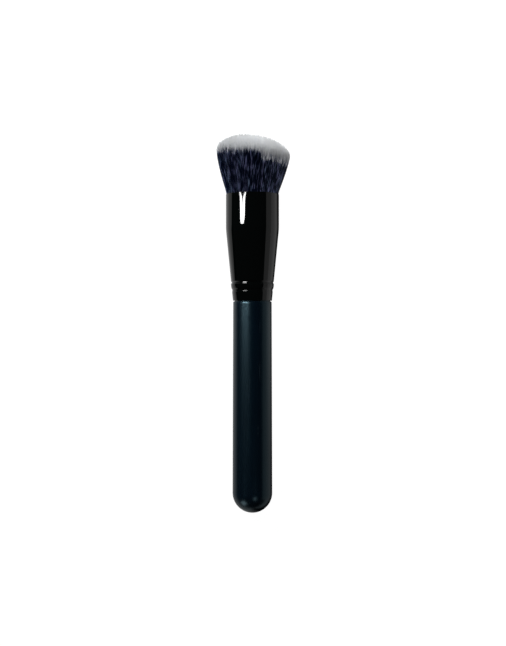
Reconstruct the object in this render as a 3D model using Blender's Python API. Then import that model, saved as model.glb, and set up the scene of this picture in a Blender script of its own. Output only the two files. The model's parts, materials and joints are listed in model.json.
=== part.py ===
"""Makeup brush on a table: a turned wooden handle, a crimped aluminium ferrule and a dome of filaments.

Metres, +Z up, +X from the butt towards the tuft. The pieces are modelled on the brush's own axis, with
local +Z from the butt to the tuft. One empty lays that axis down, so that the brush rests on its butt and
on its tuft.
"""

import math
import random

import bmesh
import bpy
from mathutils import Matrix, Vector
from mathutils.geometry import delaunay_2d_cdt

# Handle, from the butt to the shoulder
HANDLE_LENGTH = 0.0865
BUTT_RADIUS = 0.00813
SHOULDER_RADIUS = 0.00790
SHOULDER_EASE_LENGTH = 0.0011
SHOULDER_EASE_DEPTH = 0.0003

# Tenon on the end of the handle, and the adhesive in the recess turned into it
TENON_END_COLLAR = 0.0030
TENON_CHAMFER = 0.0006
ADHESIVE_THICKNESS = 0.00176

# Ferrule, heights measured from its tail
FERRULE_LENGTH = 0.0435
FERRULE_STRAIGHT_LENGTH = 0.0143
FERRULE_MOUTH_RADIUS = 0.01087
FERRULE_TAIL_RADIUS = 0.00800
FERRULE_WALL = 0.0004
FERRULE_EDGE_EASE = 0.00014
LOWER_GROOVE_HEIGHT = 0.0040
LOWER_GROOVE_DEPTH = 0.00014
UPPER_GROOVE_HEIGHT = 0.0077
UPPER_GROOVE_DEPTH = 0.00026
GROOVE_HALF_WIDTH = 0.00065
BEAD_STAND = 0.00017

# Root of the tuft, inside the ferrule
ROOT_FACE_BELOW_MOUTH = 0.0012
ROOT_LENGTH = 0.0125
EPOXY_THICKNESS = 0.0072
THREAD_DIAMETER = 0.0006
THREAD_GAP = 0.00045
BINDING_ABOVE_ROOT_END = 0.0009

# Tuft, heights measured from the ferrule's mouth
TUFT_RADIUS = 0.0147
FLARE_HEIGHT = 0.0150
DOME_EDGE_HEIGHT = 0.0160
DOME_RISE = 0.0085
DOME_RADIUS = 0.0152
WHITE_TIP_LENGTH = 0.0036
TUFT_LEAN = 0.0005
TABLE_PRESS = 0.0005

# Clearance between pieces that touch
CLEARANCE = 0.0003

# Shares, slopes and exponents of the tuft's shape
DOME_SLANT_SHARE = 0.12
DOME_CURVE = 2.3
FLARE_CURVE = 1.3
FLARE_LEVEL_SHARE = 0.5
STRAND_FILL_SHARE = 0.86
STRAND_TIP_SHARE = 0.72
STRAND_STRAY_SHARE = 0.04
STRAND_LENGTH_STRAY_SHARE = 0.018

# Counts
TURNED_SIDES = 48
BUTT_STEPS = 9
EASE_STEPS = 3
GROOVE_STEPS = 3
STRAND_ROWS = 10
STRANDS_PER_ROW_STEP = 5.6
STRAND_SIDES = 4
CURVED_ROWS = 1
BINDING_TURNS = 3.5
THREAD_POINTS_PER_TURN = 16
RANDOM_SEED = 7

# Finishes as name, colour, roughness and metallic value
LACQUER = ("satin_blue_black_lacquer", (0.004, 0.009, 0.014), 0.38, 0.0)
BLACK_METAL = ("gloss_black_ferrule", (0.006, 0.008, 0.009), 0.12, 0.6)
NAVY_FILAMENT = ("navy_filament", (0.006, 0.010, 0.026), 0.5, 0.0)
WHITE_FILAMENT = ("white_filament_end", (0.66, 0.68, 0.70), 0.5, 0.0)
WAXED_THREAD = ("waxed_thread", (0.62, 0.55, 0.42), 0.7, 0.0)
CURED_EPOXY = ("cured_epoxy", (0.52, 0.40, 0.20), 0.25, 0.0)

# Modelling limits
MERGE_DISTANCE = 1e-7
SHARP_ANGLE = math.radians(32)
CDT_INSIDE = 1

# Places that follow from the sizes above, as heights on the brush's axis from the butt
FERRULE_PLACE = HANDLE_LENGTH + CLEARANCE
MOUTH_PLACE = FERRULE_PLACE + FERRULE_LENGTH
ROOT_FACE_HEIGHT = FERRULE_LENGTH - ROOT_FACE_BELOW_MOUTH
ROOT_END_HEIGHT = ROOT_FACE_HEIGHT - ROOT_LENGTH
EPOXY_TOP_HEIGHT = ROOT_END_HEIGHT - CLEARANCE
EPOXY_END_HEIGHT = EPOXY_TOP_HEIGHT - EPOXY_THICKNESS
TENON_TOP_HEIGHT = EPOXY_END_HEIGHT - CLEARANCE
GLUE_RECESS_START = LOWER_GROOVE_HEIGHT + GROOVE_HALF_WIDTH
GLUE_RECESS_END = TENON_TOP_HEIGHT - TENON_END_COLLAR
CONE_LENGTH = FERRULE_LENGTH - FERRULE_STRAIGHT_LENGTH


def clear_scene():
    for obj in list(bpy.data.objects):
        bpy.data.objects.remove(obj, do_unlink=True)


def painted(finish):
    name, colour, roughness, metallic = finish
    material = bpy.data.materials.new(name)
    material.use_nodes = True
    shader = material.node_tree.nodes["Principled BSDF"]
    shader.inputs["Base Color"].default_value = (*colour, 1.0)
    shader.inputs["Roughness"].default_value = roughness
    shader.inputs["Metallic"].default_value = metallic
    material.diffuse_color = (*colour, 1.0)
    return material


def eased(start, end, share):
    """A value that leaves start and reaches end with no slope."""
    return start + (end - start) * (1 - math.cos(math.pi * share)) / 2


def quarter_arc(centre, radii, start_angle, steps):
    """Points (radius, height) of a quarter ellipse that turns anticlockwise from start_angle."""
    points = []
    for step in range(steps + 1):
        angle = start_angle + math.pi / 2 * step / steps
        points.append((centre[0] + radii[0] * math.cos(angle), centre[1] + radii[1] * math.sin(angle)))
    return points


def radius_at(outline, height):
    """The outline's radius at a height, on the straight stretch between two of its points."""
    for (low_radius, low), (high_radius, high) in zip(outline, outline[1:]):
        if low <= height <= high and high > low:
            return low_radius + (high_radius - low_radius) * (height - low) / (high - low)
    return outline[0][0] if height < outline[0][1] else outline[-1][0]


def stretch(outline, low, high):
    """The outline from one height to another, with the points that it has between them."""
    between = [point for point in outline if low < point[1] < high]
    return [(radius_at(outline, low), low), *between, (radius_at(outline, high), high)]


def offset(outline, distance):
    return [(radius + distance, height) for radius, height in outline]


# Profiles of the ferrule
def crimp_offsets():
    """(height, offset from the cone) through the two rolled grooves and the bead between them."""
    knots = [
        (LOWER_GROOVE_HEIGHT - GROOVE_HALF_WIDTH, 0),
        (LOWER_GROOVE_HEIGHT, -LOWER_GROOVE_DEPTH),
        (LOWER_GROOVE_HEIGHT + GROOVE_HALF_WIDTH, BEAD_STAND),
        (UPPER_GROOVE_HEIGHT - GROOVE_HALF_WIDTH, BEAD_STAND),
        (UPPER_GROOVE_HEIGHT, -UPPER_GROOVE_DEPTH),
        (UPPER_GROOVE_HEIGHT + GROOVE_HALF_WIDTH, 0),
    ]
    points = []
    for (low, start), (high, end) in zip(knots, knots[1:]):
        steps = GROOVE_STEPS if start != end else 1
        for step in range(steps):
            share = step / steps
            points.append((low + (high - low) * share, eased(start, end, share)))
    return points + knots[-1:]


def ferrule_wall():
    """Outer wall as (radius, height), tail to mouth, without its eased edges."""
    growth = (FERRULE_MOUTH_RADIUS - FERRULE_TAIL_RADIUS) / CONE_LENGTH
    crimped = [(FERRULE_TAIL_RADIUS + growth * height + out, height) for height, out in crimp_offsets()]
    return [
        (FERRULE_TAIL_RADIUS, 0),
        *crimped,
        (FERRULE_MOUTH_RADIUS, CONE_LENGTH),
        (FERRULE_MOUTH_RADIUS, FERRULE_LENGTH),
    ]


def ferrule_room(clearance=CLEARANCE):
    """The space inside the ferrule, less a clearance, as (radius, height)."""
    return offset(ferrule_wall(), -FERRULE_WALL - clearance)


def ferrule_profile():
    outer = stretch(ferrule_wall(), FERRULE_EDGE_EASE, FERRULE_LENGTH - FERRULE_EDGE_EASE)
    ease = (FERRULE_EDGE_EASE, FERRULE_EDGE_EASE)
    tail_centre = (outer[0][0] - FERRULE_EDGE_EASE, FERRULE_EDGE_EASE)
    mouth_centre = (outer[-1][0] - FERRULE_EDGE_EASE, FERRULE_LENGTH - FERRULE_EDGE_EASE)
    tail = quarter_arc(tail_centre, ease, -math.pi / 2, EASE_STEPS)
    mouth = quarter_arc(mouth_centre, ease, 0, EASE_STEPS)
    inner = list(reversed(ferrule_room(clearance=0)))
    return tail + outer[1:-1] + mouth + inner


# Profiles of what fills the ferrule
def tenon_radius():
    """The tenon slides in past the narrowest place of the stretch that it fills."""
    return min(radius for radius, _ in stretch(ferrule_room(), 0, TENON_TOP_HEIGHT))


def adhesive_span():
    """Heights of the adhesive's two ends, clear of the recess that holds it."""
    return GLUE_RECESS_START + CLEARANCE, GLUE_RECESS_END - CLEARANCE


def adhesive_inner_radius():
    """The adhesive has its thickness halfway up, under the slant of the ferrule's wall."""
    low, high = adhesive_span()
    return radius_at(ferrule_room(), (low + high) / 2) - ADHESIVE_THICKNESS


def handle_profile():
    """(radius, height) from the butt's pole over the shoulder to the middle of the tenon's top."""
    tenon = tenon_radius()
    recess = adhesive_inner_radius() - CLEARANCE
    butt = quarter_arc((0, BUTT_RADIUS), (BUTT_RADIUS, BUTT_RADIUS), -math.pi / 2, BUTT_STEPS)
    ease_centre = (SHOULDER_RADIUS - SHOULDER_EASE_DEPTH, HANDLE_LENGTH - SHOULDER_EASE_LENGTH)
    shoulder = quarter_arc(ease_centre, (SHOULDER_EASE_DEPTH, SHOULDER_EASE_LENGTH), 0, EASE_STEPS)
    tenon_steps = [
        (tenon, -CLEARANCE),
        (tenon, GLUE_RECESS_START),
        (recess, GLUE_RECESS_START),
        (recess, GLUE_RECESS_END),
        (tenon, GLUE_RECESS_END),
        (tenon, TENON_TOP_HEIGHT - TENON_CHAMFER),
        (tenon - TENON_CHAMFER, TENON_TOP_HEIGHT),
        (0, TENON_TOP_HEIGHT),
    ]
    return butt + shoulder + [(radius, FERRULE_PLACE + height) for radius, height in tenon_steps]


def adhesive_profile():
    """A ring between the recess in the tenon and the ferrule's wall, as a closed loop."""
    low, high = adhesive_span()
    inner = adhesive_inner_radius()
    return [(inner, low), *stretch(ferrule_room(), low, high), (inner, high)]


def epoxy_profile():
    side = stretch(ferrule_room(), EPOXY_END_HEIGHT, EPOXY_TOP_HEIGHT)
    return [(0, EPOXY_END_HEIGHT), *side, (0, EPOXY_TOP_HEIGHT)]


def binding_span():
    """Heights of the first and the last turn's middle."""
    start = ROOT_END_HEIGHT + BINDING_ABOVE_ROOT_END
    return start, start + BINDING_TURNS * (THREAD_DIAMETER + THREAD_GAP)


def binding_centre_radius():
    """The thread lies between the neck of the root and the ferrule's wall."""
    low, high = binding_span()
    return min(radius for radius, _ in stretch(ferrule_room(), low, high)) - THREAD_DIAMETER / 2


def root_side():
    """Side of the bonded root, bottom to top. The binding draws its lower end in to a neck."""
    margin = THREAD_DIAMETER / 2 + CLEARANCE
    neck = binding_centre_radius() - margin
    neck_top = binding_span()[1] + margin
    return [
        (neck, ROOT_END_HEIGHT),
        (neck, neck_top),
        *stretch(ferrule_room(), neck_top, ROOT_FACE_HEIGHT),
    ]


# Shape of the tuft, heights measured from the mouth
def flared(height):
    """Reach of the outermost strands above the mouth, on a curve that straightens out at FLARE_HEIGHT."""
    mouth = FERRULE_MOUTH_RADIUS - FERRULE_WALL
    share = min(height / FLARE_HEIGHT, 1)
    return mouth + (TUFT_RADIUS - mouth) * (1 - (1 - share) ** FLARE_CURVE)


def root_reach():
    """Reach at the root face, from which the strands run straight past the mouth, clear of its wall."""
    level = FLARE_LEVEL_SHARE * FLARE_HEIGHT
    share = ROOT_FACE_BELOW_MOUTH / (ROOT_FACE_BELOW_MOUTH + level)
    at_mouth = FERRULE_MOUTH_RADIUS - FERRULE_WALL - CLEARANCE
    return (at_mouth - flared(level) * share) / (1 - share)


def row_spacing(height):
    """Distance between rows of strands. The outer row's outer sides reach as far as the tuft does."""
    reach = root_reach() if height <= 0 else flared(height)
    return reach / (STRAND_ROWS + STRAND_FILL_SHARE / 2)


def dome_height(x, y):
    """Height of the domed and slanted face that the strands' tips make."""
    share = min(math.hypot(x, y) / DOME_RADIUS, 1)
    return DOME_EDGE_HEIGHT + DOME_RISE * math.sqrt(1 - share**DOME_CURVE) - DOME_SLANT_SHARE * x


def row_count(row):
    return round(STRANDS_PER_ROW_STEP * row)


def strand_levels(row, tip):
    """Heights at which a strand has corners, root to tip. The last stretch is its white end."""
    white_start = tip - WHITE_TIP_LENGTH
    flare_level = FLARE_LEVEL_SHARE * FLARE_HEIGHT
    if row > STRAND_ROWS - CURVED_ROWS and flare_level < white_start:
        return [-ROOT_FACE_BELOW_MOUTH, flare_level, white_start, tip]
    return [-ROOT_FACE_BELOW_MOUTH, white_start, tip]


def section(row, turn, full):
    """Corners of a strand as (radius in rows, angle): a sector of its row, so that neighbours never cross."""
    half = full * STRAND_FILL_SHARE / 2
    if row == 0:
        return [(half, math.tau * side / STRAND_SIDES) for side in range(STRAND_SIDES)]
    spread = full * STRAND_FILL_SHARE * math.pi / row_count(row)
    inner, outer = row - half, row + half
    return [(inner, turn - spread), (outer, turn - spread), (outer, turn + spread), (inner, turn + spread)]


def strand(row, turn, draw):
    """Rings of corners of one strand: a lock that fans out with its row and narrows to a blunt tip."""
    reach = row * row_spacing(FLARE_HEIGHT)
    stray = (draw.uniform(-1, 1) * STRAND_STRAY_SHARE, draw.uniform(-1, 1) * STRAND_STRAY_SHARE)
    tip = dome_height(reach * math.cos(turn), reach * math.sin(turn))
    tip += draw.uniform(-1, 1) * STRAND_LENGTH_STRAY_SHARE * tip
    rings = []
    for height in strand_levels(row, tip):
        spacing = row_spacing(height)
        grown = max(height, 0) / tip
        strayed = spacing * grown
        across = Vector((stray[0] * strayed + TUFT_LEAN * grown**2, stray[1] * strayed, height))
        ring = []
        for radius, angle in section(row, turn, STRAND_TIP_SHARE if height == tip else 1):
            ring.append(Vector((math.cos(angle), math.sin(angle), 0)) * radius * spacing + across)
        rings.append(ring)
    return rings


def strands():
    draw = random.Random(RANDOM_SEED)
    made = [strand(0, 0, draw)]
    for row in range(1, STRAND_ROWS + 1):
        count = row_count(row)
        start = draw.uniform(0, math.tau / count)
        made += [strand(row, start + math.tau * place / count, draw) for place in range(count)]
    return made


# How the brush lies
def rest_tilt():
    """Angle of the axis over the table, with the butt on it and the widest ring of the tuft pressed on it."""
    along = MOUTH_PLACE + FLARE_HEIGHT - BUTT_RADIUS
    reach = math.hypot(along, TUFT_RADIUS)
    return math.atan2(TUFT_RADIUS, along) - math.asin((BUTT_RADIUS + TABLE_PRESS) / reach)


def laid_down(tilt):
    """Turns local +Z, butt to tuft, along world +X, raised by tilt, and local +Y down onto the table."""
    side = Vector((0, -1, 0))
    down = Vector((math.sin(tilt), 0, -math.cos(tilt)))
    axis = Vector((math.cos(tilt), 0, math.sin(tilt)))
    return Matrix((side, down, axis)).transposed()


def pressed_flat(point, tilt):
    """A point of the tuft, moved up to the table's plane if it would be under it."""
    up = Vector((0, -math.cos(tilt), math.sin(tilt)))
    butt_centre = Vector((0, 0, BUTT_RADIUS - MOUTH_PLACE))
    under = up.dot(point - butt_centre) + BUTT_RADIUS
    return point - up * under if under < 0 else point


# Meshes
def finished(name, bm, materials, place, parent):
    """The bmesh as an object on the brush's axis, at a height from the butt."""
    bmesh.ops.recalc_face_normals(bm, faces=bm.faces)
    mesh = bpy.data.meshes.new(name)
    bm.to_mesh(mesh)
    bm.free()
    mesh.shade_smooth()
    mesh.set_sharp_from_angle(angle=SHARP_ANGLE)
    for material in materials:
        mesh.materials.append(material)
    obj = bpy.data.objects.new(name, mesh)
    bpy.context.scene.collection.objects.link(obj)
    obj.parent = parent
    obj.location = (0, 0, place)
    return obj


def turned(name, profile, material, place, parent, closed=False):
    """A profile of (radius, height) spun round the axis, with a flat side of its facets towards the table."""
    bm = bmesh.new()
    half_side = math.pi / TURNED_SIDES
    start = Vector((math.cos(half_side), math.sin(half_side), 0))
    verts = [bm.verts.new(start * radius + Vector((0, 0, height))) for radius, height in profile]
    ends = zip(verts, verts[1:] + verts[:1]) if closed else zip(verts, verts[1:])
    edges = [bm.edges.new(pair) for pair in ends]
    bmesh.ops.spin(
        bm,
        geom=verts + edges,
        cent=(0, 0, 0),
        axis=(0, 0, 1),
        angle=math.tau,
        steps=TURNED_SIDES,
        use_merge=True,
    )
    bmesh.ops.remove_doubles(bm, verts=bm.verts, dist=MERGE_DISTANCE)
    return finished(name, bm, [material], place, parent)


def side_circle(radius, height):
    """Corners of a turned piece's ring, in the order in which it is spun."""
    half_side = math.pi / TURNED_SIDES
    angles = [half_side + math.tau * side / TURNED_SIDES for side in range(TURNED_SIDES)]
    return [Vector((radius * math.cos(angle), radius * math.sin(angle), height)) for angle in angles]


def bridge(bm, lower, upper):
    """Quads between two rings of as many points."""
    count = len(lower)
    faces = []
    for side in range(count):
        after = (side + 1) % count
        faces.append(bm.faces.new((lower[side], lower[after], upper[after], upper[side])))
    return faces


def root_face_mesh(bm, rim, made):
    """The top of the bonded root, meshed round the strands' feet. Returns the rim's verts and each foot's."""
    outline = side_circle(*rim)
    feet = [corner for rings in made for corner in rings[0]]
    flat = [point.to_2d() for point in outline + feet]
    rim_edges = [(side, (side + 1) % TURNED_SIDES) for side in range(TURNED_SIDES)]
    foot_faces = []
    for start in range(TURNED_SIDES, len(flat), STRAND_SIDES):
        foot_faces.append(list(range(start, start + STRAND_SIDES)))
    found = delaunay_2d_cdt(flat, rim_edges, foot_faces, CDT_INSIDE, MERGE_DISTANCE)
    points, triangles, came_from, in_foot = found[0], found[2], found[3], found[5]
    verts = [bm.verts.new((point.x, point.y, rim[1])) for point in points]
    for triangle, feet_inside in zip(triangles, in_foot):
        if not feet_inside:
            bm.faces.new([verts[index] for index in triangle])
    by_input = {given: verts[index] for index, origin in enumerate(came_from) for given in origin}
    rim_verts = [by_input[side] for side in range(TURNED_SIDES)]
    return rim_verts, [[by_input[given] for given in face] for face in foot_faces]


def tuft_object(tilt, dark, white, parent):
    """All strands grow out of the bonded root in one solid."""
    bm = bmesh.new()
    made = strands()
    print(f"filament_tuft: {len(made)} strands; axis raised {math.degrees(tilt):.2f} degrees")
    side = [(radius, height - FERRULE_LENGTH) for radius, height in root_side()]
    rim_verts, feet = root_face_mesh(bm, side[-1], made)
    upper = rim_verts
    for radius, height in reversed(side[:-1]):
        lower = [bm.verts.new(point) for point in side_circle(radius, height)]
        bridge(bm, lower, upper)
        upper = lower
    bm.faces.new(upper)
    for rings, foot in zip(made, feet):
        lower = foot
        for ring in rings[1:]:
            above = [bm.verts.new(pressed_flat(corner, tilt)) for corner in ring]
            newest = bridge(bm, lower, above)
            lower = above
        newest.append(bm.faces.new(lower))
        for face in newest:
            face.material_index = 1
    return finished("filament_tuft", bm, [dark, white], MOUTH_PLACE, parent)


def binding_object(material, parent):
    """A thread wound round the root as one helix. Its least gap to itself is printed."""
    start, end = binding_span()
    radius = binding_centre_radius()
    count = round(BINDING_TURNS * THREAD_POINTS_PER_TURN)
    points = []
    for index in range(count + 1):
        angle = math.tau * index / THREAD_POINTS_PER_TURN
        height = start + (end - start) * index / count
        points.append(Vector((radius * math.cos(angle), radius * math.sin(angle), height)))
    curve = bpy.data.curves.new("root_binding", "CURVE")
    curve.dimensions = "3D"
    curve.bevel_depth = THREAD_DIAMETER / 2
    curve.bevel_resolution = 1
    curve.use_fill_caps = True
    spline = curve.splines.new("POLY")
    spline.points.add(len(points) - 1)
    for spot, point in zip(spline.points, points):
        spot.co = (*point, 1)
    curve.materials.append(material)
    obj = bpy.data.objects.new("root_binding", curve)
    bpy.context.scene.collection.objects.link(obj)
    obj.parent = parent
    obj.location = (0, 0, FERRULE_PLACE)
    turn = THREAD_POINTS_PER_TURN
    apart = min((upper - lower).length for lower, upper in zip(points, points[turn:]))
    print(f"root_binding: least gap between turns {apart - THREAD_DIAMETER:.5f} m")


def stand_on_origin(parent):
    """Moves the empty so that the brush's box is centred over the origin and rests on its plane."""
    bpy.context.view_layer.update()
    graph = bpy.context.evaluated_depsgraph_get()
    points = []
    for obj in parent.children:
        evaluated = obj.evaluated_get(graph)
        mesh = evaluated.to_mesh()
        points += [evaluated.matrix_world @ vert.co for vert in mesh.vertices]
        evaluated.to_mesh_clear()
    low = [min(point[axis] for point in points) for axis in range(3)]
    high = [max(point[axis] for point in points) for axis in range(3)]
    parent.location = (-(low[0] + high[0]) / 2, -(low[1] + high[1]) / 2, -low[2])


def main():
    clear_scene()
    epoxy = painted(CURED_EPOXY)
    tilt = rest_tilt()
    axis = bpy.data.objects.new("brush_axis", None)
    bpy.context.scene.collection.objects.link(axis)
    axis.rotation_euler = laid_down(tilt).to_euler()

    turned("handle", handle_profile(), painted(LACQUER), 0, axis)
    turned("ferrule", ferrule_profile(), painted(BLACK_METAL), FERRULE_PLACE, axis, closed=True)
    turned("tenon_adhesive", adhesive_profile(), epoxy, FERRULE_PLACE, axis, closed=True)
    turned("epoxy_plug", epoxy_profile(), epoxy, FERRULE_PLACE, axis)
    binding_object(painted(WAXED_THREAD), axis)
    tuft_object(tilt, painted(NAVY_FILAMENT), painted(WHITE_FILAMENT), axis)
    stand_on_origin(axis)


main()
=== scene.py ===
"""Looks of a makeup brush that lies on a table: lacquered handle, gloss black ferrule and two-tone tuft.

The pieces are made on the brush's own axis: +Z from the butt to the tuft, +X to the photograph's right and
+Y down towards the table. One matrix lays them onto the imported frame. Lengths are metres, and the angles
of lights are degrees.
"""

import json
import math

import bmesh
import bpy
from mathutils import Matrix, Vector


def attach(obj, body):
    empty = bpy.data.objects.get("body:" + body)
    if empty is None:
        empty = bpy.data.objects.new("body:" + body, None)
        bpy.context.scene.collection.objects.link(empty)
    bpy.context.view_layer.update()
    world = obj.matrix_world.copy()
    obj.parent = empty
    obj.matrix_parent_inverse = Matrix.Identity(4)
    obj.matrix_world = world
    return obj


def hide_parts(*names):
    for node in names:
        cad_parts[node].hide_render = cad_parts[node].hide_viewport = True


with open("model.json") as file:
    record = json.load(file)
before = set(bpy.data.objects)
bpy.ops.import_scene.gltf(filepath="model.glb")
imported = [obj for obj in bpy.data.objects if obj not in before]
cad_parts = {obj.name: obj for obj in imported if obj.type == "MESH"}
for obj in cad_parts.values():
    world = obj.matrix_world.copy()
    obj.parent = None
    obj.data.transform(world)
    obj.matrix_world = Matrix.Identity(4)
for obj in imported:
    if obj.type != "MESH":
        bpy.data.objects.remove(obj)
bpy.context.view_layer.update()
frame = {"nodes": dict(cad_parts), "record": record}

# Handle, from the butt to the shoulder, and the tenon inside the ferrule
HANDLE_LENGTH = 0.0865
BUTT_RADIUS = 0.00813
SHOULDER_RADIUS = 0.00790
SHOULDER_EASE_LENGTH = 0.0008
SHOULDER_EASE_DEPTH = 0.00024
TENON_RADIUS = 0.0073
TENON_CHAMFER = 0.0006
GLUE_RECESS_RADIUS = 0.0064
GLUE_RECESS_LOW = 0.00465
GLUE_RECESS_HIGH = 0.0190
TENON_LENGTH = 0.0220

# Ferrule, heights measured from its tail
FERRULE_LENGTH = 0.0435
FERRULE_STRAIGHT_LENGTH = 0.0143
FERRULE_MOUTH_RADIUS = 0.01087
FERRULE_TAIL_RADIUS = 0.00800
FERRULE_WALL = 0.0004
FERRULE_EDGE_EASE = 0.00016
TAIL_EDGE_EASE = 0.00007
CONE_BLEND_LENGTH = 0.0014
LOWER_GROOVE_HEIGHT = 0.0043
LOWER_GROOVE_DEPTH = 0.00016
LOWER_DISH_LENGTH = 0.00070
UPPER_GROOVE_HEIGHT = 0.00747
UPPER_GROOVE_DEPTH = 0.00024
UPPER_FLOOR_LENGTH = 0.00025
UPPER_FLOOR_RISE = 0.000046
UPPER_FLANK_LENGTH = 0.00050
BEAD_HEIGHT = 0.00606
BEAD_HALF_LENGTH = 0.00080
BEAD_STAND = 0.00017
BEAD_CURVE_RADIUS = 0.0060

# Bonded root and its binding, heights measured from the mouth
ROOT_FACE_DEPTH = 0.0012
ROOT_NECK_TOP_DEPTH = 0.008525
ROOT_END_DEPTH = 0.0137
ROOT_NECK_RADIUS = 0.00927
ROOT_RADIUS = 0.01017
BINDING_START_DEPTH = 0.0128
BINDING_PITCH = 0.00105
BINDING_TURNS = 3.5
BINDING_RADIUS = 0.00987
THREAD_RADIUS = 0.0003

# Tuft, heights measured from the mouth
MOUTH_REACH = 0.01034
TUFT_RADIUS = 0.01503
TUFT_LEAN = 0.00055
FLARE_HEIGHT = 0.0180
FLARE_CURVE = 1.42
DOME_EDGE_HEIGHT = 0.0158
DOME_RISE = 0.0085
DOME_RADIUS = 0.01545
DOME_CURVE = 2.3
DOME_SLANT = 0.118
FILAMENT_RADIUS = 0.000058
INNER_FILAMENT_RADIUS = 0.000085
TIP_THINNING = 4.0
WHITE_LENGTH = 0.0019
LEAST_WHITE = 0.0003
INNER_WHITE = 0.0120
DYE_EDGE = 0.00012
LONGER_WHITE_PLACE = 0.0030
LONGER_WHITE_BLEND = 0.0007
LONGER_WHITE_EXTRA = 0.0019
OUTER_WHITE_PLACE = 0.0098
OUTER_WHITE_SLOPE = 0.15
SKIN_STRAY = 0.00026
INNER_STRAY = 0.0004
ORDER_SHAKE = (-2.0, 3.0)
FOOT_SHAKE = 0.06
SWAY_GROWTH = 1.5
HEART_STREAK_REACH = 0.15
TAPER_START = 0.6

# Photograph, in pixels of its 506 x 646 frame, where a whole number is a pixel's edge
PHOTO_WIDTH = 506
PHOTO_HEIGHT = 646
PHOTO_AXIS_X = 252.4
PHOTO_BUTT_Y = 512.4
METRES_PER_PIXEL = 0.00041
CAMERA_DISTANCE = 0.425
CAMERA_CLIP = (0.01, 50.0)
SENSOR = 36.0

# Smoothness
TURNED_SIDES = 160
BUTT_STEPS = 28
EASE_STEPS = 6
GROOVE_STEPS = 8
BEAD_STEPS = 16
LEAST_STEP = 0.000002
CONE_BLEND_STEPS = 8
SHARP_ANGLE = math.radians(40)
LONG_RUN = 0.0010
HOLD_DISTANCE = 0.00005


# Frame of the brush
def grip():
    return next(mount for mount in frame["record"]["mounts"] if mount["name"] == "handle_grip")


def span_on_axis(node, point, axis):
    """Lowest and highest place of a CAD node along the axis, from a point on it."""
    places = [(vert.co - point).dot(axis) for vert in frame["nodes"][node].data.vertices]
    return min(places), max(places)


def brush_matrix():
    """From the brush's own axes, with the origin at the tip of the butt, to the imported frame."""
    point = Vector(grip()["pos_m"])
    axis = Vector(grip()["axis"]).normalized()
    side = Vector((0, -1, 0))
    butt = point + axis * span_on_axis("handle", point, axis)[0]
    turn = Matrix((side, axis.cross(side), axis)).transposed()
    return Matrix.Translation(butt) @ turn.to_4x4()


LAID_DOWN = brush_matrix()
UP = LAID_DOWN.inverted().to_3x3() @ Vector((0, 0, 1))
FERRULE_PLACE, MOUTH_PLACE = span_on_axis("ferrule", LAID_DOWN.translation, LAID_DOWN.col[2].to_3d())


# Node trees
FLOAT = "NodeSocketFloat"
INTEGER = "NodeSocketInt"
VECTOR = "NodeSocketVector"
GEOMETRY = "NodeSocketGeometry"
MATERIAL = "NodeSocketMaterial"
NOISE_SPAN = (0.3, 0.7)


def add(tree, kind, inputs=None, output=0, **settings):
    """Adds a node, sets or wires its inputs by name or number, and returns one of its outputs."""
    node = tree.nodes.new(kind)
    for key, value in settings.items():
        setattr(node, key, value)
    for key, value in (inputs or {}).items():
        if isinstance(value, bpy.types.NodeSocket):
            tree.links.new(value, node.inputs[key])
        else:
            node.inputs[key].default_value = value
    return node.outputs[output]


def calc(tree, operation, *values):
    return add(tree, "ShaderNodeMath", dict(enumerate(values)), operation=operation)


def times(tree, value, factor):
    return calc(tree, "MULTIPLY", value, factor)


def less(tree, value, taken):
    return calc(tree, "SUBTRACT", value, taken)


def vector_calc(tree, operation, *values):
    output = "Value" if operation in ("LENGTH", "DOT_PRODUCT") else "Vector"
    return add(tree, "ShaderNodeVectorMath", dict(enumerate(values)), output, operation=operation)


def scaled(tree, vector, factor):
    return add(tree, "ShaderNodeVectorMath", {0: vector, "Scale": factor}, operation="SCALE")


def combined(tree, x, y, z):
    return add(tree, "ShaderNodeCombineXYZ", {"X": x, "Y": y, "Z": z})


def remap(tree, value, low, high, to_low=0.0, to_high=1.0, kind="LINEAR"):
    inputs = {"Value": value, "From Min": low, "From Max": high, "To Min": to_low, "To Max": to_high}
    return add(tree, "ShaderNodeMapRange", inputs, interpolation_type=kind)


def mixed_value(tree, share, low, high):
    return add(tree, "ShaderNodeMix", {0: share, 2: low, 3: high}, data_type="FLOAT")


def mixed_colour(tree, share, low, high):
    return add(tree, "ShaderNodeMix", {0: share, 6: low, 7: high}, output=2, data_type="RGBA")


def noise(tree, place, scale, detail=2.0, roughness=0.5, output="Fac"):
    inputs = {"Vector": place, "Scale": scale, "Detail": detail, "Roughness": roughness}
    return add(tree, "ShaderNodeTexNoise", inputs, output)


def spread(tree, value, to_low=0.0, to_high=1.0):
    """The usual span of a noise, stretched between two values."""
    return remap(tree, value, *NOISE_SPAN, to_low, to_high)


def parts_of(tree, vector):
    """The X, Y and Z outputs of a vector."""
    return add(tree, "ShaderNodeSeparateXYZ", {0: vector}).node.outputs


def attribute(tree, name, output="Fac"):
    return add(tree, "ShaderNodeAttribute", output=output, attribute_name=name)


def stored(tree, geometry, name, value, kind="FLOAT"):
    """The geometry with a named value on each of its points."""
    inputs = {"Geometry": geometry, "Name": name, "Value": value}
    return add(tree, "GeometryNodeStoreNamedAttribute", inputs, data_type=kind, domain="POINT")


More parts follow.
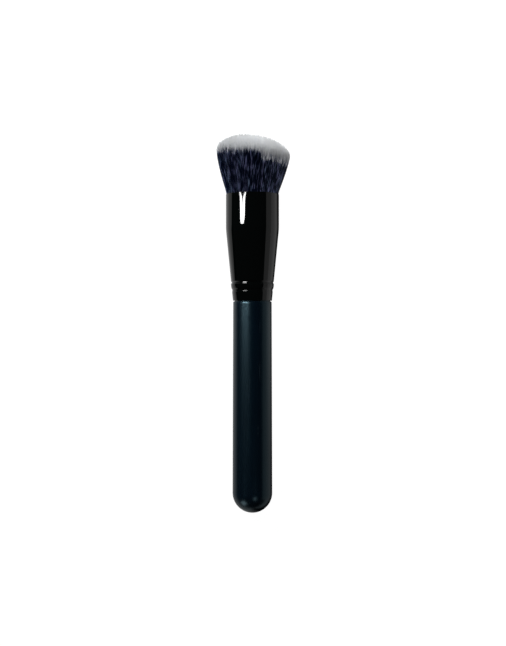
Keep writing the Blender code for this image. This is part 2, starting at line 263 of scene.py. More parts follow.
def new_group(name, kind, inputs, outputs):
    """A node group with named sockets. Returns the tree, its inputs by name, and its output node."""
    tree = bpy.data.node_groups.new(name, kind)
    for socket_name, (socket_type, value) in inputs.items():
        socket = tree.interface.new_socket(name=socket_name, in_out="INPUT", socket_type=socket_type)
        if value is not None:
            socket.default_value = value
    for socket_name, socket_type in outputs.items():
        tree.interface.new_socket(name=socket_name, in_out="OUTPUT", socket_type=socket_type)
    given = tree.nodes.new("NodeGroupInput").outputs
    return tree, given, tree.nodes.new("NodeGroupOutput")


# Effects that more than one finish uses
SCUFF_RUNS = ((0.35, 14.0), (-1.1, 9.0))
SCUFF_TILT = 0.2
SCUFF_EDGE = (0.66, 0.74)
SCUFF_PATCH_SCALE = 0.06
SCUFF_PATCH_EDGE = (0.5, 0.65)
SPECK_EDGE = (0.10, 0.16)
SPECK_CHOICE = 1.45


def hairline_scuffs():
    """Short fine scratches in two directions: a mask that is 1 on a scratch."""
    inputs = {"Place": (VECTOR, None), "Scale": (FLOAT, 900.0), "Amount": (FLOAT, 0.1)}
    tree, given, result = new_group("hairline_scuffs", "ShaderNodeTree", inputs, {"Mask": FLOAT})
    masks = []
    for turn, stretch in SCUFF_RUNS:
        rotation = (SCUFF_TILT, turn, turn)
        inputs = {"Vector": given["Place"], "Rotation": rotation, "Scale": (1.0, 1.0, 1 / stretch)}
        place = add(tree, "ShaderNodeMapping", inputs)
        lines = noise(tree, place, given["Scale"], 2.0)
        patches = noise(tree, given["Place"], times(tree, given["Scale"], SCUFF_PATCH_SCALE), 1.0)
        line = remap(tree, lines, *SCUFF_EDGE)
        masks.append(times(tree, line, remap(tree, patches, *SCUFF_PATCH_EDGE)))
    both = calc(tree, "MAXIMUM", *masks)
    tree.links.new(times(tree, both, given["Amount"]), result.inputs["Mask"])
    return tree


def dust_specks():
    """Sparse specks of dust and pinholes: a mask that is 1 on a speck."""
    inputs = {"Place": (VECTOR, None), "Scale": (FLOAT, 600.0), "Amount": (FLOAT, 0.3)}
    tree, given, result = new_group("dust_specks", "ShaderNodeTree", inputs, {"Mask": FLOAT})
    inputs = {"Vector": given["Place"], "Scale": given["Scale"]}
    cells = add(tree, "ShaderNodeTexVoronoi", inputs, "Distance")
    shade = add(tree, "ShaderNodeTexVoronoi", inputs, "Color")
    speck = remap(tree, cells, *SPECK_EDGE, 1.0, 0.0)
    chosen = calc(tree, "GREATER_THAN", vector_calc(tree, "LENGTH", shade), SPECK_CHOICE)
    mask = times(tree, times(tree, speck, chosen), given["Amount"])
    tree.links.new(mask, result.inputs["Mask"])
    return tree


def flowed_coat():
    """The slow ripple and fine orange peel of a sprayed coat: a height from 0 to 1."""
    inputs = {
        "Place": (VECTOR, None),
        "Ripple": (FLOAT, 160.0),
        "Peel": (FLOAT, 1500.0),
        "Peel Share": (FLOAT, 0.3),
    }
    tree, given, result = new_group("flowed_coat", "ShaderNodeTree", inputs, {"Height": FLOAT})
    ripple = noise(tree, given["Place"], given["Ripple"], 1.0)
    peel = noise(tree, given["Place"], given["Peel"], 1.0)
    tree.links.new(mixed_value(tree, given["Peel Share"], ripple, peel), result.inputs["Height"])
    return tree


def long_grain():
    """Streaks along the brush's axis, as of wood grain or a drawing die: a value round 0.5."""
    inputs = {"Place": (VECTOR, None), "Scale": (FLOAT, 1400.0), "Stretch": (FLOAT, 25.0)}
    tree, given, result = new_group("long_grain", "ShaderNodeTree", inputs, {"Streaks": FLOAT})
    parts = parts_of(tree, given["Place"])
    squeezed = calc(tree, "DIVIDE", parts["Z"], given["Stretch"])
    place = combined(tree, parts["X"], parts["Y"], squeezed)
    tree.links.new(noise(tree, place, given["Scale"], 3.0, 0.6), result.inputs["Streaks"])
    return tree


SCUFFS = hairline_scuffs()
SPECKS = dust_specks()
COAT = flowed_coat()
GRAIN = long_grain()


def effect(tree, group, inputs):
    return add(tree, "ShaderNodeGroup", inputs, node_tree=group)


# Finishes
def finish(name, **constants):
    """A material with one Principled shader, its tree and the brush's own coordinates."""
    material = bpy.data.materials.new(name)
    material.use_nodes = True
    tree = material.node_tree
    shader = tree.nodes["Principled BSDF"]
    for key, value in constants.items():
        shader.inputs[key.replace("_", " ")].default_value = value
    place = add(tree, "ShaderNodeTexCoord", output="Object")
    turned_back = LAID_DOWN.inverted()
    inputs = {"Vector": place, "Location": turned_back.translation, "Rotation": turned_back.to_euler()}
    return material, tree, shader, add(tree, "ShaderNodeMapping", inputs)


def surfaced(tree, shader, colour, roughness, height, relief):
    """Gives a shader its colour, its roughness and a bump whose full height is the relief."""
    bump = add(tree, "ShaderNodeBump", {"Height": height, "Distance": relief, "Strength": 1.0})
    for name, value in {"Base Color": colour, "Roughness": roughness, "Normal": bump}.items():
        tree.links.new(value, shader.inputs[name])


# Lacquer on the handle
LACQUER_TINT = (0.50, 0.85, 1.0, 1)
LACQUER_DEEP = (0.0001, 0.0011, 0.0026, 1)
LACQUER_CLOUD = (0.0002, 0.0015, 0.0034, 1)
LACQUER_GRAIN = (0.0006, 0.0028, 0.0050, 1)
LACQUER_DUST = (0.045, 0.050, 0.055, 1)
LACQUER_CLOUD_SCALE = 70.0
LACQUER_GRAIN_EDGE = (0.5, 0.75)
LACQUER_GRAIN_SHARE = 0.4
LACQUER_ROUGHNESS = (0.25, 0.27)
LACQUER_SCUFF_DULLING = 0.15
LACQUER_GRAIN_HEIGHT = 0.10
LACQUER_RELIEF = 0.000012


def handle_lacquer():
    """Satin blue-black lacquer: fine grain shows through a flowed coat, with a little dust and wear."""
    material, tree, shader, place = finish("satin_blue_black_lacquer", Specular_IOR_Level=0.5)
    shader.inputs["Specular Tint"].default_value = LACQUER_TINT
    grain = effect(tree, GRAIN, {"Place": place, "Scale": 1100.0, "Stretch": 30.0})
    coat = effect(tree, COAT, {"Place": place, "Ripple": 220.0, "Peel": 1900.0, "Peel Share": 0.35})
    scuffs = effect(tree, SCUFFS, {"Place": place, "Scale": 700.0, "Amount": 0.5})
    specks = effect(tree, SPECKS, {"Place": place, "Scale": 420.0, "Amount": 0.12})
    clouds = noise(tree, place, LACQUER_CLOUD_SCALE)
    base = mixed_colour(tree, spread(tree, clouds), LACQUER_DEEP, LACQUER_CLOUD)
    in_grain = remap(tree, grain, *LACQUER_GRAIN_EDGE, 0.0, LACQUER_GRAIN_SHARE)
    grained = mixed_colour(tree, in_grain, base, LACQUER_GRAIN)
    dulled = times(tree, scuffs, LACQUER_SCUFF_DULLING)
    colour = mixed_colour(tree, calc(tree, "MAXIMUM", dulled, specks), grained, LACQUER_DUST)
    roughness = calc(tree, "ADD", spread(tree, grain, *LACQUER_ROUGHNESS), dulled)
    height = mixed_value(tree, LACQUER_GRAIN_HEIGHT, coat, grain)
    surfaced(tree, shader, colour, roughness, height, LACQUER_RELIEF)
    return material


# Black coating on the ferrule
FERRULE_COAT = (0.0004, 0.0007, 0.0007, 1)
FERRULE_DUST = (0.05, 0.05, 0.05, 1)
FERRULE_ROUGHNESS = (0.025, 0.045)
FERRULE_SCUFF_DULLING = 0.12
FERRULE_LINE_HEIGHT = 0.15
FERRULE_RELIEF = 0.000004


def ferrule_black():
    """Gloss black coating over drawn aluminium, with the faintest draw lines, hairlines and dust."""
    material, tree, shader, place = finish("gloss_black_ferrule", Specular_IOR_Level=0.5)
    lines = effect(tree, GRAIN, {"Place": place, "Scale": 2200.0, "Stretch": 60.0})
    coat = effect(tree, COAT, {"Place": place, "Ripple": 120.0, "Peel": 2400.0, "Peel Share": 0.08})
    scuffs = effect(tree, SCUFFS, {"Place": place, "Scale": 1000.0, "Amount": 0.5})
    specks = effect(tree, SPECKS, {"Place": place, "Scale": 520.0, "Amount": 0.3})
    colour = mixed_colour(tree, specks, FERRULE_COAT, FERRULE_DUST)
    dulled = times(tree, scuffs, FERRULE_SCUFF_DULLING)
    roughness = calc(tree, "ADD", spread(tree, lines, *FERRULE_ROUGHNESS), dulled)
    height = mixed_value(tree, FERRULE_LINE_HEIGHT, coat, lines)
    surfaced(tree, shader, colour, roughness, height, FERRULE_RELIEF)
    return material


# Dye and pale ends of the filaments, with painted light: a painted sheen on the dark blue shafts, and
# painted light and shade on the pale ends near the dye
FILAMENT_TINT = (0.52, 0.74, 1.0, 1)
DEEP_NAVY = (0.0006, 0.0018, 0.0090, 1)
# Painted sheen: lighter streaks on the shafts, partly the filaments' own tint and partly light on the
# clumps painted into the colour
PAINTED_VIOLET_SHEEN = (0.142, 0.153, 0.284, 1)
PAINTED_BLUE_SHEEN = (0.121, 0.164, 0.265, 1)
COOL_TIP = (0.505, 0.525, 0.553, 1)
WARM_TIP = (0.553, 0.553, 0.543, 1)
# Painted light and painted shade: light and shade copies of one white for the pale ends near the dye
PAINTED_SHADE_WHITE = (0.105, 0.115, 0.155, 1)
PAINTED_LIGHT_WHITE = (0.91, 0.91, 0.94, 1)
STREAK_STRETCH = (1.0, 1.0, 0.08)
STREAK_SCALE = 54.0
STREAK_EDGE = (0.42, 0.66)
HUE_SCALE = 12.0
HUE_EDGE = (0.42, 0.58)
OWN_TINT_SHARE = 0.4
STREAK_SHARE = 0.62
TINT_AND_PAINTED_LIGHT_EDGE = (0.46, 0.86)
PAINTED_WHITE_SHADE_EDGE = (0.0, 0.97)


def filament_dye():
    """Dark blue shafts and pale ends. Each filament has its own tint and its own end to the dye. Lighter
    streaks are partly the filaments' own tint and partly painted light: a painted sheen on the shafts, and
    painted light and shade on the pale ends, which darken towards the dye as painted shade.
    """
    material, tree, shader, _ = finish("two_tone_filament", Roughness=0.45, Specular_IOR_Level=0.2)
    shader.inputs["Specular Tint"].default_value = FILAMENT_TINT
    tint = attribute(tree, "tint")
    from_tip = attribute(tree, "from_tip")
    white_length = attribute(tree, "white_length")
    inputs = {"Vector": attribute(tree, "strand_place", "Vector"), "Scale": STREAK_STRETCH}
    stretched = add(tree, "ShaderNodeMapping", inputs)
    streaks = remap(tree, noise(tree, stretched, STREAK_SCALE, 1.0), *STREAK_EDGE)
    hues = remap(tree, noise(tree, stretched, HUE_SCALE, 1.0), *HUE_EDGE)
    own = mixed_value(tree, OWN_TINT_SHARE, attribute(tree, "lock_tint"), tint)
    shade = mixed_value(tree, STREAK_SHARE, own, streaks)
    # Mask of lighter streaks: partly the filaments' own tint, partly painted light and shade between the
    # clumps
    tint_and_painted_light = remap(tree, shade, *TINT_AND_PAINTED_LIGHT_EDGE, kind="SMOOTHSTEP")
    shafts_with_painted_sheen = mixed_colour(tree, tint_and_painted_light, DEEP_NAVY, mixed_colour(tree, hues, PAINTED_VIOLET_SHEEN, PAINTED_BLUE_SHEEN))
    tip = mixed_colour(tree, tint, COOL_TIP, WARM_TIP)
    painted_light_near_dye = mixed_colour(tree, tint_and_painted_light, PAINTED_SHADE_WHITE, PAINTED_LIGHT_WHITE)
    # Painted shade: the pale end darkens from its tip colour towards the dye
    down_white = calc(tree, "DIVIDE", from_tip, white_length)
    painted_shade_to_dye = remap(tree, down_white, *PAINTED_WHITE_SHADE_EDGE, kind="SMOOTHSTEP")
    end = mixed_colour(tree, painted_shade_to_dye, tip, painted_light_near_dye)
    to_dye = less(tree, white_length, from_tip)
    dyed = remap(tree, to_dye, DYE_EDGE, -DYE_EDGE, kind="SMOOTHSTEP")
    tree.links.new(mixed_colour(tree, dyed, end, shafts_with_painted_sheen), shader.inputs["Base Color"])
    return material


# Bonded root, thread and adhesive
BONDED_DARK = (0.002, 0.003, 0.008, 1)
BONDED_PALE = (0.012, 0.015, 0.030, 1)
BONDED_SCALE = 3200.0
BONDED_EDGE = (0.35, 0.65)
BONDED_ROUGHNESS = (0.25, 0.5)
BONDED_RELIEF = 0.00005
THREAD_GROOVE_PAINTED_SHADE = (0.30, 0.24, 0.16, 1)
THREAD_CREST = (0.68, 0.61, 0.48, 1)
THREAD_ROUGHNESS = (0.45, 0.7)
THREAD_RELIEF = 0.00006
THREAD_PLIES = 2
PLY_TURN = 9000.0
FUZZ_SCALE = 6000.0
FUZZ_SHARE = 0.25
AMBER_DEEP = (0.34, 0.22, 0.08, 1)
AMBER_PALE = (0.60, 0.45, 0.22, 1)
AMBER_BUBBLE = (0.80, 0.70, 0.50, 1)
AMBER_CLOUD_SCALE = 240.0
AMBER_ROUGHNESS = (0.15, 0.3)
AMBER_RELIEF = 0.00008


def bonded_root_finish():
    material, tree, shader, place = finish("resin_bound_filament_root", Specular_IOR_Level=0.5)
    packed = noise(tree, place, BONDED_SCALE)
    colour = mixed_colour(tree, remap(tree, packed, *BONDED_EDGE), BONDED_DARK, BONDED_PALE)
    roughness = spread(tree, packed, *BONDED_ROUGHNESS)
    surfaced(tree, shader, colour, roughness, packed, BONDED_RELIEF)
    return material


def thread_finish():
    """Waxed thread whose plies show as slanting ridges along the piece's own map, darker in the grooves
    between them as painted shade.
    """
    material, tree, shader, place = finish("waxed_thread", Specular_IOR_Level=0.35)
    along = times(tree, attribute(tree, "run"), PLY_TURN)
    around = times(tree, attribute(tree, "girth"), math.tau * THREAD_PLIES)
    plies = calc(tree, "SINE", calc(tree, "ADD", along, around))
    fuzz = noise(tree, place, FUZZ_SCALE)
    height = mixed_value(tree, FUZZ_SHARE, remap(tree, plies, -1.0, 1.0), fuzz)
    # Painted shade: the colour follows the ridges, darker in the ply grooves
    colour = mixed_colour(tree, height, THREAD_GROOVE_PAINTED_SHADE, THREAD_CREST)
    roughness = spread(tree, fuzz, *THREAD_ROUGHNESS)
    surfaced(tree, shader, colour, roughness, height, THREAD_RELIEF)
    return material


def epoxy_finish():
    """Cured amber adhesive with cloudy flow and small trapped bubbles."""
    material, tree, shader, place = finish("cured_amber_adhesive", Specular_IOR_Level=0.5)
    clouds = noise(tree, place, AMBER_CLOUD_SCALE, 3.0)
    bubbles = effect(tree, SPECKS, {"Place": place, "Scale": 1100.0, "Amount": 0.8})
    amber = mixed_colour(tree, spread(tree, clouds), AMBER_DEEP, AMBER_PALE)
    colour = mixed_colour(tree, bubbles, amber, AMBER_BUBBLE)
    roughness = spread(tree, clouds, *AMBER_ROUGHNESS)
    height = less(tree, clouds, bubbles)
    surfaced(tree, shader, colour, roughness, height, AMBER_RELIEF)
    return material


# Outlines as (radius, height)
def quarter_arc(centre, radii, start_angle, steps):
    """Points of a quarter ellipse that turns anticlockwise from start_angle, ends included."""
    angles = [start_angle + math.pi / 2 * step / steps for step in range(steps + 1)]
    return [(centre[0] + radii[0] * math.cos(a), centre[1] + radii[1] * math.sin(a)) for a in angles]


def eased(start, end, share):
    return start + (end - start) * (1 - math.cos(math.pi * share)) / 2


def handle_outline():
    butt = quarter_arc((0, BUTT_RADIUS), (BUTT_RADIUS, BUTT_RADIUS), -math.pi / 2, BUTT_STEPS)
    ease = (SHOULDER_EASE_DEPTH, SHOULDER_EASE_LENGTH)
    shoulder = quarter_arc((SHOULDER_RADIUS - ease[0], HANDLE_LENGTH - ease[1]), ease, 0, EASE_STEPS)
    tenon = [
        (TENON_RADIUS, HANDLE_LENGTH),
        (TENON_RADIUS, FERRULE_PLACE + GLUE_RECESS_LOW),
        (GLUE_RECESS_RADIUS, FERRULE_PLACE + GLUE_RECESS_LOW),
        (GLUE_RECESS_RADIUS, FERRULE_PLACE + GLUE_RECESS_HIGH),
        (TENON_RADIUS, FERRULE_PLACE + GLUE_RECESS_HIGH),
        (TENON_RADIUS, FERRULE_PLACE + TENON_LENGTH - TENON_CHAMFER),
        (TENON_RADIUS - TENON_CHAMFER, FERRULE_PLACE + TENON_LENGTH),
        (0, FERRULE_PLACE + TENON_LENGTH),
    ]
    return butt + shoulder + tenon


def dished(bottom, top, share):
    return bottom + (top - bottom) * share**2


def bead_offset(height):
    return BEAD_STAND - (height - BEAD_HEIGHT) ** 2 / (2 * BEAD_CURVE_RADIUS)


def straight(bottom, top, share):
    return bottom + (top - bottom) * share


BEAD_TAIL = BEAD_HEIGHT - BEAD_HALF_LENGTH
BEAD_HEAD = BEAD_HEIGHT + BEAD_HALF_LENGTH
BEAD_EDGE_STAND = bead_offset(BEAD_HEAD)
FLOOR_TAIL = UPPER_GROOVE_HEIGHT - UPPER_FLOOR_LENGTH
FLOOR_TAIL_DEPTH = UPPER_GROOVE_DEPTH - UPPER_FLOOR_RISE
# The crimps' flanks: where each starts and how deep, how far it runs, what it rises to, and its curve
CRIMP_FLANKS = (
    (LOWER_GROOVE_HEIGHT, LOWER_GROOVE_DEPTH, -LOWER_DISH_LENGTH, 0, dished),
    (LOWER_GROOVE_HEIGHT, LOWER_GROOVE_DEPTH, BEAD_TAIL - LOWER_GROOVE_HEIGHT, BEAD_EDGE_STAND, eased),
    (FLOOR_TAIL, FLOOR_TAIL_DEPTH, BEAD_HEAD - FLOOR_TAIL, BEAD_EDGE_STAND, eased),
    (UPPER_GROOVE_HEIGHT, UPPER_GROOVE_DEPTH, -UPPER_FLOOR_LENGTH, -FLOOR_TAIL_DEPTH, straight),
    (UPPER_GROOVE_HEIGHT, UPPER_GROOVE_DEPTH, UPPER_FLANK_LENGTH, 0, eased),
)


def crimp_offset(height):
    """How far the rolled grooves and the domed bead between them lie off the ferrule's cone."""
    for middle, depth, run, top, curve in CRIMP_FLANKS:
        share = (height - middle) / run
        if 0 <= share <= 1:
            return curve(-depth, top, share)
    return bead_offset(height) if BEAD_TAIL < height < BEAD_HEAD else 0


def cone_radius(height):
    """The cone runs into the straight mouth over a short blend."""
    cone_length = FERRULE_LENGTH - FERRULE_STRAIGHT_LENGTH
    growth = (FERRULE_MOUTH_RADIUS - FERRULE_TAIL_RADIUS) / cone_length
    past = height - cone_length
    if past <= -CONE_BLEND_LENGTH:
        return FERRULE_TAIL_RADIUS + growth * height
    if past >= CONE_BLEND_LENGTH:
        return FERRULE_MOUTH_RADIUS
    return FERRULE_MOUTH_RADIUS - growth * (CONE_BLEND_LENGTH - past) ** 2 / (4 * CONE_BLEND_LENGTH)


def steps_between(low, high, count):
    return [low + (high - low) * step / count for step in range(count)]


def ferrule_outline():
    """The wall's outer side from tail to mouth, its eased lips, and its inner side back to the tail."""
    cone_length = FERRULE_LENGTH - FERRULE_STRAIGHT_LENGTH
    heights = [TAIL_EDGE_EASE]
    for middle, _, run, _, _ in CRIMP_FLANKS:
        low, high = sorted((middle, middle + run))
        heights += steps_between(low, high, GROOVE_STEPS) + [high]
    heights += steps_between(BEAD_TAIL, BEAD_HEAD, BEAD_STEPS)[1:]
    heights.sort()
    heights = [low for low, high in zip(heights, heights[1:]) if high - low > LEAST_STEP] + heights[-1:]
    blend = (cone_length - CONE_BLEND_LENGTH, cone_length + CONE_BLEND_LENGTH)
    heights += steps_between(*blend, CONE_BLEND_STEPS) + [blend[1], FERRULE_LENGTH - FERRULE_EDGE_EASE]
    outer = [(cone_radius(height) + crimp_offset(height), height) for height in heights]
    inner = [(radius - FERRULE_WALL, height) for radius, height in reversed(outer)]
    ease = (FERRULE_EDGE_EASE, FERRULE_EDGE_EASE)
    mouth = quarter_arc((outer[-1][0] - ease[0], outer[-1][1]), ease, 0, EASE_STEPS)
    ease = (TAIL_EDGE_EASE, TAIL_EDGE_EASE)
    tail = quarter_arc((outer[0][0] - ease[0], outer[0][1]), ease, -math.pi / 2, EASE_STEPS)
    inner[0] = (inner[0][0], FERRULE_LENGTH)
    inner[-1] = (inner[-1][0], 0)
    return tail + outer[1:-1] + mouth + inner


def held(outline):
    """The outline with a point close to both ends of each long run, which keeps its shading even."""
    points = [outline[0]]
    for start, end in zip(outline, outline[1:]):
        length = math.dist(start, end)
        if length > LONG_RUN:
            for share in (HOLD_DISTANCE / length, 1 - HOLD_DISTANCE / length):
                points.append(tuple(a + (b - a) * share for a, b in zip(start, end)))
        points.append(end)
    return points


def root_outline():
    return [
        (0, -ROOT_END_DEPTH),
        (ROOT_NECK_RADIUS, -ROOT_END_DEPTH),
        (ROOT_NECK_RADIUS, -ROOT_NECK_TOP_DEPTH),
        (ROOT_RADIUS, -ROOT_NECK_TOP_DEPTH),
        (ROOT_RADIUS, -ROOT_FACE_DEPTH),
        (0, -ROOT_FACE_DEPTH),
    ]


# Pieces
def placed(name, mesh, materials=()):
    """An object at the origin whose place is in its mesh."""
    for material in materials:
        mesh.materials.append(material)
    obj = bpy.data.objects.new(name, mesh)
    bpy.context.scene.collection.objects.link(obj)
    return obj


def turned(name, outline, place, material, closed=False):
    """An outline spun round the brush's axis, at a height from the butt."""
    bm = bmesh.new()
    rings = []
    for radius, height in held(outline):
        count = TURNED_SIDES if radius > 0 else 1
        angles = [math.tau * side / count for side in range(count)]
        points = [(radius * math.cos(a), radius * math.sin(a), place + height) for a in angles]
        rings.append([bm.verts.new(point) for point in points])
    for lower, upper in zip(rings, rings[1:] + rings[:1] if closed else rings[1:]):
        for side in range(TURNED_SIDES):
            after = (side + 1) % TURNED_SIDES
            corners = [lower[side % len(lower)], lower[after % len(lower)]]
            corners += [upper[after % len(upper)], upper[side % len(upper)]]
            bm.faces.new(list(dict.fromkeys(corners)))
    bmesh.ops.recalc_face_normals(bm, faces=bm.faces)
    mesh = bpy.data.meshes.new(name)
    bm.to_mesh(mesh)
    bm.free()
    mesh.transform(LAID_DOWN)
    mesh.shade_smooth()
    mesh.set_sharp_from_angle(angle=SHARP_ANGLE)
    return placed(name, mesh, [material])


def filament_tree():
    """Filaments that rise from a ring of the root, fan out with the flare and end on the slanted dome."""
    inputs = {
        "Filaments": (INTEGER, 1000),
        "Levels": (INTEGER, 5),
        "Inner Share": (FLOAT, 0.0),
        "Outer Share": (FLOAT, 1.0),
        "Filament Radius": (FLOAT, FILAMENT_RADIUS),
        "Tip Share": (FLOAT, 0.7),
        "Root Depth": (FLOAT, ROOT_FACE_DEPTH),
        "Mouth Reach": (FLOAT, MOUTH_REACH),
        "Tuft Radius": (FLOAT, TUFT_RADIUS),
        "Flare Height": (FLOAT, FLARE_HEIGHT),
        "Dome Edge Height": (FLOAT, DOME_EDGE_HEIGHT),
        "Dome Rise": (FLOAT, DOME_RISE),
        "Dome Radius": (FLOAT, DOME_RADIUS),
        "Dome Slant": (FLOAT, DOME_SLANT),
        "Lean": (FLOAT, TUFT_LEAN),
        "Lock Scale": (FLOAT, 34.0),
        "Lock Draw": (FLOAT, 0.35),
        "Lock Shortfall": (FLOAT, 0.0002),
        "Tress Scale": (FLOAT, 6.0),
        "Tress Bend": (FLOAT, 0.0012),
        "Tress Shortfall": (FLOAT, 0.0006),
        "Stray": (FLOAT, 0.0002),
        "Shortfall": (FLOAT, 0.0011),
        "White Length": (FLOAT, WHITE_LENGTH),
        "Inner White": (FLOAT, INNER_WHITE),
        "White Stray": (FLOAT, 0.0005),
        "Lock White Stray": (FLOAT, 0.0009),
        "Dye Wander": (FLOAT, 0.0052),
        "Dye Wander Scale": (FLOAT, 36.0),
        "Table Up": (VECTOR, (0.0, 0.0, 1.0)),
        "Mouth Over Table": (FLOAT, 0.0),
        "Seed": (INTEGER, 0),
        "Material": (MATERIAL, None),
    }
    tree, given, result = new_group("fanned_filaments", "GeometryNodeTree", inputs, {"Geometry": GEOMETRY})

    def drawn(low, high, order, kind="FLOAT"):
        ends = {0: low, 1: high} if kind == "FLOAT_VECTOR" else {2: low, 3: high}
        seed = calc(tree, "ADD", given["Seed"], order)
        output = 0 if kind == "FLOAT_VECTOR" else 1
        return add(tree, "FunctionNodeRandomValue", {**ends, 8: seed}, output, data_type=kind)

    def recalled(name, kind="FLOAT"):
        return add(tree, "GeometryNodeInputNamedAttribute", {"Name": name}, data_type=kind)

    def swayed(way, freedom, amount):
        sideways = vector_calc(tree, "MULTIPLY", way, (1, 1, 0))
        return scaled(tree, sideways, times(tree, freedom, amount))

    # Feet on a unit disc, evenly spread by the golden angle and then shaken
    index = add(tree, "GeometryNodeInputIndex")
    order = calc(tree, "ADD", index, drawn(*ORDER_SHAKE, 1))
    rank = calc(tree, "DIVIDE", order, given["Filaments"])
    inner_area = calc(tree, "POWER", given["Inner Share"], 2.0)
    outer_area = calc(tree, "POWER", given["Outer Share"], 2.0)
    area = mixed_value(tree, rank, inner_area, outer_area)
    share = calc(tree, "SQRT", calc(tree, "MAXIMUM", area, 0.0))
    golden = times(tree, index, math.pi * (3 - math.sqrt(5)))
    angle = calc(tree, "ADD", golden, drawn(-FOOT_SHAKE, FOOT_SHAKE, 2))
    foot = combined(
        tree,
        times(tree, share, calc(tree, "COSINE", angle)),
        times(tree, share, calc(tree, "SINE", angle)),
        0.0,
    )
    feet = add(tree, "GeometryNodePoints", {"Count": given["Filaments"], "Position": foot})
    feet = stored(tree, feet, "stray", drawn((-1, -1, -1), (1, 1, 1), 3, "FLOAT_VECTOR"), "FLOAT_VECTOR")
    feet = stored(tree, feet, "tint", drawn(0.0, 1.0, 4))
    feet = stored(tree, feet, "dye_stray", drawn(-1.0, 1.0, 5))
    unit_line = add(tree, "GeometryNodeCurvePrimitiveLine", {"Start": (0, 0, 0), "End": (0, 0, 1)})
    line = add(tree, "GeometryNodeResampleCurve", {"Curve": unit_line, "Count": given["Levels"]})
    lines = add(tree, "GeometryNodeInstanceOnPoints", {"Points": feet, "Instance": line})
    curves = add(tree, "GeometryNodeRealizeInstances", {"Geometry": lines})

    # Each point's place on the disc and its share of the filament's height
    parts = parts_of(tree, add(tree, "GeometryNodeInputPosition"))
    rise = parts["Z"]
    on_disc = combined(tree, parts["X"], parts["Y"], 0.0)
    reach = vector_calc(tree, "LENGTH", on_disc)
    stray = recalled("stray", "FLOAT_VECTOR")
    tress = noise(tree, on_disc, given["Tress Scale"], 1.0, output="Color")
    tress = vector_calc(tree, "SUBTRACT", tress, (0.5, 0.5, 0.5))
    inputs = {"Vector": on_disc, "Scale": given["Lock Scale"]}
    lock_middle = add(tree, "ShaderNodeTexVoronoi", inputs, "Position", voronoi_dimensions="2D")
    lock_parts = parts_of(tree, lock_middle.node.outputs["Color"])

    # Height of the tip on the dome
    across = times(tree, parts["X"], given["Tuft Radius"])
    out = calc(tree, "DIVIDE", times(tree, reach, given["Tuft Radius"]), given["Dome Radius"])
    bowl = less(tree, 1.0, calc(tree, "POWER", out, DOME_CURVE))
    bowl = calc(tree, "SQRT", calc(tree, "MAXIMUM", bowl, 0.0))
    tip = calc(tree, "MULTIPLY_ADD", bowl, given["Dome Rise"], given["Dome Edge Height"])
    tip = less(tree, tip, times(tree, across, given["Dome Slant"]))
    lengthened = calc(tree, "POWER", calc(tree, "ABSOLUTE", parts_of(tree, stray)["Z"]), TIP_THINNING)
    thinned = less(tree, 1.0, lengthened)
    own_shortfall = times(tree, thinned, given["Shortfall"])
    lock_shortfall = times(tree, lock_parts["Z"], given["Lock Shortfall"])
    tress_shortfall = times(tree, parts_of(tree, tress)["Z"], given["Tress Shortfall"])
    for shortfall in (own_shortfall, lock_shortfall, calc(tree, "ABSOLUTE", tress_shortfall)):
        tip = less(tree, tip, shortfall)
    length = calc(tree, "ADD", tip, given["Root Depth"])
    height = less(tree, times(tree, rise, length), given["Root Depth"])

    # Reach at that height, on the flare's curve
    climbed = remap(tree, height, 0.0, given["Flare Height"])
    left = calc(tree, "POWER", less(tree, 1.0, climbed), FLARE_CURVE)
    full = mixed_value(tree, left, given["Tuft Radius"], given["Mouth Reach"])
    up_to_tip = calc(tree, "MAXIMUM", calc(tree, "DIVIDE", height, tip), 0.0)
    freedom = calc(tree, "POWER", up_to_tip, SWAY_GROWTH)
    to_middle = vector_calc(tree, "SUBTRACT", lock_middle, on_disc)
    drawn_in = scaled(tree, to_middle, times(tree, freedom, given["Lock Draw"]))
    fanned = scaled(tree, vector_calc(tree, "ADD", on_disc, drawn_in), full)
    laid = vector_calc(tree, "ADD", fanned, swayed(stray, freedom, given["Stray"]))
    streak_reach = mixed_value(tree, HEART_STREAK_REACH, 1.0, reach)
    around = scaled(tree, vector_calc(tree, "NORMALIZE", laid), streak_reach)
    place = vector_calc(tree, "ADD", laid, swayed(tress, freedom, given["Tress Bend"]))
    lean = times(tree, less(tree, 1.0, left), given["Lean"])
    place = vector_calc(tree, "ADD", place, combined(tree, lean, 0.0, height))

    # Filaments that would be under the table lie on it
    over_mouth = vector_calc(tree, "DOT_PRODUCT", place, given["Table Up"])
    over_table = calc(tree, "ADD", over_mouth, given["Mouth Over Table"])
    under = calc(tree, "MAXIMUM", less(tree, given["Filament Radius"], over_table), 0.0)
    place = vector_calc(tree, "ADD", place, scaled(tree, given["Table Up"], under))

